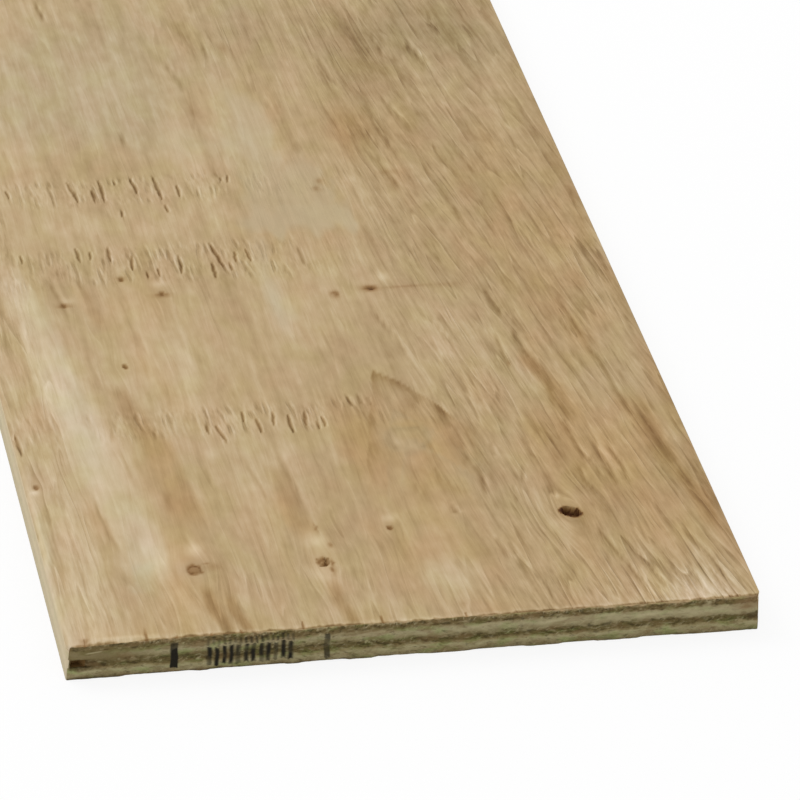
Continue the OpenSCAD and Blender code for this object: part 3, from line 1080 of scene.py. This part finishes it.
# %% Edge materials
def sawn_wood(finish, levels, bend_mm, contrast, olive, layer):
    """The colour and the height of a sawn edge, with its bands bent by noise."""
    x, y, z = finish.place()
    run = x + y
    slow = finish.noise(run / 10, z / 7, layer) - 0.5
    quick = finish.noise(run / 2.2, z / 1.8, layer + 1) - 0.5
    bent = z + (slow * 2.0 + quick) * bend_mm
    colour = finish.ramp(bent / TOP, [(level / TOP, shade) for level, shade in levels])
    smear = finish.noise((run + z * 0.5) / 2.8, z / 1.5, layer + 2)
    slant = finish.noise((run - z * 0.7) / 2.0, z / 2.6, layer + 3)
    pores = finish.noise(run / 0.7, z / 0.6, layer + 4)
    damp = finish.noise(run / 10, z / 4, layer + 5)
    blotch = finish.noise(run / 5, z / 2.4, layer + 6, detail=2.0)
    colour = finish.mix(blotch.rise(0.52, 0.66) * contrast * 0.8, colour, EDGE_BROWN)
    colour = finish.mix((1 - blotch).rise(0.54, 0.68) * contrast * 0.4, colour, EDGE_LIGHT)
    colour = finish.mix(smear.rise(0.52, 0.76) * contrast, colour, EDGE_DARK)
    colour = finish.mix(slant.rise(0.56, 0.76) * contrast, colour, EDGE_LIGHT)
    colour = finish.mix(pores.rise(0.55, 0.80) * contrast * 0.5, colour, EDGE_DARK)
    colour = finish.tint(damp.rise(0.48, 0.66) * olive, colour, OLIVE_FILTER)
    height = slant * 0.5 + pores * 0.4 - smear * 0.4
    return colour, height, bent


def window(wire, low, high, soft):
    """1 between low and high, 0 outside, with edges as soft as given."""
    return wire.rise(low - soft, low) * (1 - wire.rise(high, high + soft))


# %% [markdown]
# The front edge has an ink mark: two ticks, and two rows of plain upright bars between them.
# It is printed unevenly, because the wood is rough.

# %% The ink mark
# x of the first and the last bar
BARS = (-92.3, -54.0)
# pitch, half width, lowest and highest height, strength
BAR_ROWS = [(3.2, 0.95, 3.6, 11.6, 1.0), (2.3, 0.6, 13.2, 15.6, 0.75)]
# x, half width, lowest and highest height, strength
TICKS = [(-106.0, 1.2, 3.4, 14.8, 1.3), (-39.5, 0.8, 3.0, 14.0, 0.8)]


def ink_mark(finish, x, level):
    """How much ink there is: rows of bars and two ticks, each a window across and a window
    up. Noise moves their sides, and the ink is patchy all over."""
    patchy = 0.6 + 0.4 * finish.noise(x / 5, level / 6, 57.0, detail=0.0).rise(0.30, 0.60)
    width = finish.noise(x / 3.1, 0.0, 62.0, detail=0.0) * 1.2 + 0.5
    across = x + finish.noise(x / 12, level / 5, 58.0, detail=0.0) - 0.5
    up = level + (finish.noise(x / 2.6, 0.0, 60.0, detail=0.0) - 0.5) * 3
    ink = 0.0
    for pitch, half, low, high, strength in BAR_ROWS:
        bar = ((across - BARS[0]) / pitch).part() - 0.5
        bar = 1 - (bar.size() * pitch / width).rise(half - 0.7, half + 0.6)
        ink += bar * window(x, *BARS, 0.6) * window(up, low, high, 1.0) * strength
    for middle, half, low, high, strength in TICKS:
        tick = window(across, middle - half, middle + half, 0.9) * window(level, low, high, 1.0)
        ink += tick * strength
    return ink * patchy


# %% [markdown]
# The same wood serves the front and the back edge, but the marks of use are only on the
# front. Each mark is a share, from 0 to 1, and the colour that it turns the wood into.

# %% The front and back edges
# x and height of the middle, half length, half thickness, strength
SMEARS = [
    (-140.7, 13.4, 2.2, 0.4, 0.5), (28, 13.0, 5.0, 0.8, 0.4), (60, 12.6, 5.0, 0.9, 0.4),
    (83, 13.4, 4.0, 0.8, 0.35), (103, 12.4, 5.0, 0.8, 0.4), (-20, 13.0, 5.0, 0.8, 0.3),
]
SMEAR_SLOPE = 0.12


def sawn_end():
    """The front and back edges. On the bands lie marks, in their order: a pale ply on the
    right, a brown one on the left, painted shade at the mouth of the gap, spots of end grain, a
    dark foot, the right corner, rust, the inside of the gap, smears, the pale fibres under the
    face, and the ink. All but the spots are on the front alone."""
    finish = Finish("sawn_end")
    x, y, z = finish.place()
    colour, height, level = sawn_wood(
        finish, SAWN_LEVELS, bend_mm=2.0, contrast=0.58, olive=0.8, layer=51.0,
    )
    front = 1 - y.rise(-10, 10)
    spots = finish.noise(x / 3.2, z / 1.6, 63.0, detail=2.0)
    ends = window(level, 6.4, 9.2, 0.8) + window(level, 14.8, 17.2, 0.6)
    gap_side = x.rise(-151.6, -150.2) * (1 - x.rise(-147, -131))
    rusty = finish.noise(x / 11, z / 5, 61.0).rise(0.50, 0.66) * 0.30
    marks = [
        (front * window(level, 10.0, 13.6, 1.6) * x.rise(-60, 150) * 0.42, EDGE_LIGHT),
        (front * window(level, 10.0, 16.0, 1.5) * (1 - x.rise(-138, -105)) * 0.7, EDGE_BROWN),
        # painted shade in and beside the mouth of the gap in the core ply, fading to the right
        (front * window(level, 5.8, 9.2, 1.4) * gap_side * 0.7, GAP_SHADE),
        (spots.rise(0.50, 0.64) * ends * 0.55, EDGE_DARK),
        ((1 - spots).rise(0.54, 0.68) * ends * 0.25, EDGE_LIGHT),
        (front * (1 - level.rise(0.5, 1.6)) * (1 - x.rise(-60, 0)) * 0.5, EDGE_DARK),
        (front * window(level, 6.2, 8.8, 1.0) * x.rise(143, 149) * 0.6, EDGE_DARK),
        (front * (rusty + x.rise(134, 148) * z.rise(10, 12.5) * 0.55), RUST_BROWN),
        (front * y.rise(0.8 - HALF_L, 1.4 - HALF_L) * 0.85, GAP_BROWN),
    ]
    for middle, at, half, thick, strength in SMEARS:
        off = z - at - (x - middle) * SMEAR_SLOPE
        smear = window(x, middle - half, middle + half, 2.0)
        smear *= window(off, -thick * 0.3, thick * 0.3, thick)
        marks.append((front * smear * strength, EDGE_LIGHT))
    fibres = finish.noise(x / 1.1, level / 4, 56.0).rise(0.48, 0.66) * window(level, 16.9, 20, 1.2)
    fibres *= finish.noise(x / 6, level / 9, 59.0).rise(0.40, 0.60)
    marks.append((front * fibres * 0.45, EDGE_LIGHT))
    marks.append((front * ink_mark(finish, x, level), INK))
    for share, shade in marks:
        colour = finish.mix(share, colour, shade)
    return finish.wood(colour, height, roughness=0.82, relief_mm=0.4)


def sawn_side():
    """The long edges: pale. The plies whose grain ends there are a little darker."""
    finish = Finish("sawn_side")
    x, _, _ = finish.place()
    colour, height, level = sawn_wood(
        finish, SIDE_LEVELS, bend_mm=0.9, contrast=0.10, olive=0.15, layer=81.0,
    )
    crossed = window(level, 2.6, 5.7, 0.5) + window(level, 10.5, 14.3, 0.5)
    colour = finish.mix(crossed * (0.08 + x.rise(-1, 1) * 0.27), colour, EDGE_BROWN)
    return finish.wood(colour, height, roughness=0.8, relief_mm=0.25)


end_wood = sawn_end()
side_wood = sawn_side()
print("made", end_wood.name, "and", side_wood.name)

# %% [markdown]
# ## An outer veneer
# The face and the back are built alike, as a grid that shows and a rim. The grid takes its
# height from the surface, and then its corners are pulled in to their arcs. Its outline
# becomes the path of the rim, so the two share their points and no seam can open. The hidden
# side is one flat polygon. On the back the faces are listed the other way round, so that
# they look down.

# %% Outer veneer
CORNER_R = 1.0
WORN_R = 4.5
RIM_ROWS = 6


def grid_outline(nx, ny):
    """Numbers of a grid's rim points, anticlockwise from the front left."""
    front = np.arange(nx - 1)
    right = (nx - 1) + nx * np.arange(ny - 1)
    back = nx * ny - 1 - np.arange(nx - 1)
    left = nx * (ny - 1 - np.arange(ny - 1))
    return np.concatenate([front, right, back, left])


def outer_veneer(node, lines, surface, numbers, wood, front_r, seed, on_top):
    """A veneer in the box of its node. lines are the places of its grid across and along the
    sheet, surface gives its height there, and numbers the numbers that its wood reads."""
    shape = [len(places) for places in lines]
    z_low, z_high = span(node)
    x, y = np.meshgrid(*lines)
    z = surface(x, y)
    x, y = round_corners(x, y - HALF_L, (front_r, front_r, CORNER_R, CORNER_R))
    grid = np.stack([x, y, z], axis=2).reshape(-1, 3)
    outline = grid_outline(*shape)
    path = grid[outline, :2]
    z_seen = grid[outline, 2]
    z_ends = (z_seen, z_low) if on_top else (z_high, z_seen)
    rows = rim_rows(path, *z_ends, RIM_ROWS, grain_on_ends=True, seed=seed)
    grid[outline] = rows[0] if on_top else rows[-1]
    rows = rows[1:] if on_top else rows[:-1]
    rim = len(grid) + np.arange(rows.size // 3).reshape(rows.shape[:2])
    rim = np.concatenate([outline[None], rim] if on_top else [rim, outline[None]])
    shown = grid_faces(*shape)
    if on_top:
        hidden = rim[-1, ::-1]
    else:
        hidden = rim[0]
        shown = shown[:, ::-1]
    on_end = np.abs(inward(path)[:, 1]) > END_FACING
    rim_kinds = np.tile(np.where(on_end, 1, 2), RIM_ROWS - 1)
    kinds = np.concatenate([np.zeros(len(shown), int), rim_kinds, [2]])
    points = np.concatenate([grid, rows.reshape(-1, 3)])
    values = numbers(points[:, 0], points[:, 1] + HALF_L)
    faces = [*shown, *rim_faces(rim), hidden]
    return build(node + "_wood", points, faces, values, [wood, end_wood, side_wood], kinds)


# %% [markdown]
# ## The face veneer
# The face needs seven numbers at each point: the grain line, tone and cast, how grey and how
# dark it is, and how torn and how coarse its grain is. The grain is coarse on the right and
# along the left edge, where the knife met late wood.

# %% What the face's material reads
# x, y, reach across, reach along, how much coarser
COARSE_SPOTS = [
    (127, 8, 20, 22, 1.6), (105, 12, 24, 24, 0.7), (62, 178, 24, 30, 0.35),
    (-60, 0, 120, 60, 0.40), (140, 290, 18, 40, 0.4), (45, 10, 50, 30, 0.35),
    (8, 515, 40, 40, 0.35), (10, 375, 40, 30, 0.2),
]


def face_numbers(x, y_front):
    """The numbers that the face's material reads."""
    tone, cast = stain(x, y_front)
    ring_tone, ring_cast = arches(x, y_front)
    chatter = np.zeros_like(x)
    for middle, half, right in TORN_BANDS:
        band = ease(2.2 - 2 * np.abs(y_front - middle) / half)
        chatter += band * (0.25 + 0.75 * ease((right + 12 - x) / 24)) * ease((60 - x) / 20)
    broken = ease(1.0 + wander(x / 14, y_front / 18, 81)) * (0.45 + 0.55 * ease((x + 130) / 24))
    coarse = 0.35 + 0.65 * ease((x - 30) / 35) + 0.6 * ease((-125 - x) / 8)
    for *spot, more in COARSE_SPOTS:
        coarse += more * mound(x, y_front, *spot)
    return {
        "grain_line": grain_line(x, y_front),
        "tone": tone + ring_tone + strokes(x, y_front) + pale_places(x, y_front),
        "cast": cast * ease(y_front / 4) + ring_cast + 0.35 * slit_brown_and_shade(x, y_front),
        "grey": grey_patch(x, y_front),
        "dark": dark_places(x, y_front),
        "chatter": np.clip(chatter * broken, 0, 1),
        "coarse": coarse,
    }


# %% Face veneer
face_piece = outer_veneer(
    "face_veneer", (face_x, face_y), face_surface, face_numbers, face_wood, front_r=WORN_R,
    seed=101, on_top=True,
)
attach(face_piece, "root")
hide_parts("face_veneer")

# %% [markdown]
# ## The three inner plies
# Only their edges show, so each is a rim with a flat polygon above and below. At the front
# left a piece of the core ply has broken out, which leaves a dark gap beside a splinter.

# %% One inner ply
RIM_STEP = 1.0
INNER_ROWS = 8
CORE_GAP_W = 7.0
CORE_GAP_L = 4.5
SPLINTER_W = 1.6
WORN_HEIGHTS = (span("back_veneer")[1], span("face_veneer")[0])


def inner_ply(node, corners, ply_seed, grain_on_ends):
    """One ply that shows only at its rim, cut to its node's box. Its front corners are rounder
    the higher they are. What faces sideways at a long side has the wood of the sides."""
    z_low, z_high = span(node)
    line = walk(corners, RIM_STEP)
    line = np.stack(round_corners(line[:, 0], line[:, 1], (CORNER_R,) * 4), axis=1)
    ply_rows = rim_rows(line, z_high, z_low, INNER_ROWS, grain_on_ends, ply_seed)
    worn = np.interp(ply_rows[..., 2], WORN_HEIGHTS, (CORNER_R, WORN_R))
    x, y = round_corners(ply_rows[..., 0], ply_rows[..., 1], (worn, worn, CORNER_R, CORNER_R))
    ply_points = np.stack([x, y, ply_rows[..., 2]], axis=2).reshape(-1, 3)
    rim = np.arange(INNER_ROWS * len(line)).reshape(INNER_ROWS, -1)
    on_side = (np.abs(inward(line)[:, 1]) < END_FACING) & (np.abs(line[:, 0]) > HALF_W - CORNER_R)
    kinds = np.append(np.tile(on_side.astype(int), INNER_ROWS - 1), [0, 0])
    faces = [*rim_faces(rim), rim[0], rim[-1, ::-1]]
    piece = build(node + "_wood", ply_points, faces, {}, [end_wood, side_wood], kinds)
    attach(piece, "root")
    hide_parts(node)
    return piece


# %% Inner plies
square = [(-HALF_W, -HALF_L), (HALF_W, -HALF_L), (HALF_W, HALF_L), (-HALF_W, HALF_L)]
# shares of the gap's width and length, from the splinter to the right
gap = [(0, 0), (0.1, 0.8), (0.5, 1), (0.8, 0.45), (1.1, 0)]
gap = [(SPLINTER_W - HALF_W + CORE_GAP_W * a, CORE_GAP_L * b - HALF_L) for a, b in gap]
upper = inner_ply("upper_crossband", square, 201, grain_on_ends=False)
core = inner_ply("core_ply", square[:1] + gap + square[1:], 301, grain_on_ends=True)
lower = inner_ply("lower_crossband", square, 401, grain_on_ends=False)

# %% [markdown]
# ## The back veneer
# The underside is a plainer face of the same wood. The saw tore chips from it along the
# front edge. It has the same builder as the face, with its grid below.

# %% The underside as a surface
# x, width, how far it runs back
CHIPS = [
    (-112, 34, 2.4), (-74, 36, 3.2), (-40, 22, 2.6), (-8, 26, 2.2), (36, 30, 1.8),
    (72, 18, 2.2), (108, 22, 1.6),
]
CHIP_DEPTH = 0.5
BACK_LEAN = 0.03


def back_line(x, y):
    """The grain line on the back: x, plus y times a small lean, plus one slow wave."""
    return x + BACK_LEAN * y + 4 * wander(x / 60, y / 200, 501)


def back_surface(x, y):
    """The height in mm of the underside: a low ripple along the grain, and the chips."""
    rise = 0.05 + 0.10 * swell(back_line(x, y) / 2.2, y / 60, 502)
    torn = np.zeros_like(x)
    for x_mid, width, reach in CHIPS:
        edge = reach * np.clip(1 - (2 * (x - x_mid) / width) ** 2, 0, 1)
        edge *= 0.8 + 0.4 * wander(x / 2, 0, 503)
        torn = np.maximum(torn, ease((edge - y) / 0.8) * (edge > 0))
    return rise + CHIP_DEPTH * torn


def back_numbers(x, y_front):
    """The numbers that the back's material reads."""
    return {
        "grain_line": back_line(x, y_front),
        "tone": 0.03 + 0.08 * wander(x / 30, y_front / 120, 504),
        "cast": 0.5 * wander(x / 40, y_front / 90, 505),
        "grey": np.zeros_like(x),
        "dark": 0.25 * ease(1 - y_front / 3),
        "chatter": np.zeros_like(x),
        "coarse": 0.6 + 0.3 * wander(x / 40, y_front / 200, 506),
    }


# %% Back veneer
back_x = rule([-HALF_W, -HALF_W + 2, HALF_W - 2, HALF_W], [0.8, 1.6, 0.8])
back_y = rule([0, 4, 2 * HALF_L - 4, 2 * HALF_L], [0.8, 5, 1.5])
back_piece = outer_veneer(
    "back_veneer", (back_x, back_y), back_surface, back_numbers, back_wood, front_r=CORNER_R,
    seed=601, on_top=False,
)
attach(back_piece, "root")
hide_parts("back_veneer")

# %% [markdown]
# ## Floor and light
# The floor is plain and pale. For the camera it is nearly white by itself, and a small share
# of it takes light, so the sheet keeps its shadow. The light is soft: a bright sky all
# round, and one large lamp behind the left of the sheet that brings out the grain.

# %% Floor
FLOOR_SIZE = 20.0
FLOOR_GLOW = 0.85
FLOOR_WHITE = 1.02
FLOOR_COLOUR = (0.86, 0.86, 0.86, 1)

floor_mesh = bpy.data.meshes.new("floor")
reach = FLOOR_SIZE / 2
floor_corners = [(-reach, -reach, 0), (reach, -reach, 0), (reach, reach, 0), (-reach, reach, 0)]
floor_mesh.from_pydata(floor_corners, [], [(0, 1, 2, 3)])
floor = bpy.data.objects.new("floor", floor_mesh)
bpy.context.scene.collection.objects.link(floor)
paper = Finish("floor_paper")
seen = paper.node("ShaderNodeLightPath", {}, {}, out="Is Camera Ray")
matt = paper.node("ShaderNodeBsdfDiffuse", {}, {"Color": FLOOR_COLOUR})
glow = paper.node("ShaderNodeEmission", {}, {"Color": (1, 1, 1, 1), "Strength": FLOOR_WHITE})
sheet_of_paper = paper.node("ShaderNodeMixShader", {}, {0: seen * FLOOR_GLOW, 1: matt, 2: glow})
paper.node("ShaderNodeOutputMaterial", {}, {"Surface": sheet_of_paper})
floor_mesh.materials.append(paper.material)
print("floor:", FLOOR_SIZE, "m wide")

# %% Light
SKY_STRENGTH = 0.78
LAMP_PLACE = (-1.6, 1.4, 2.6)
LAMP_SIZE = 1.8
LAMP_POWER = 36

sky = bpy.data.worlds.new("sky")
sky.use_nodes = True
sky.node_tree.nodes["Background"].inputs["Color"].default_value = (1, 1, 1, 1)
sky.node_tree.nodes["Background"].inputs["Strength"].default_value = SKY_STRENGTH
bpy.context.scene.world = sky
lamp_data = bpy.data.lights.new("lamp", "AREA")
lamp_data.size = LAMP_SIZE
lamp_data.energy = LAMP_POWER
lamp = bpy.data.objects.new("lamp", lamp_data)
bpy.context.scene.collection.objects.link(lamp)
lamp.location = LAMP_PLACE
lamp.rotation_mode = "QUATERNION"
lamp.rotation_quaternion = lamp.location.to_track_quat("Z", "Y")
bpy.context.scene.view_settings.view_transform = "Standard"
print("lamp:", LAMP_POWER, "W from", LAMP_PLACE)
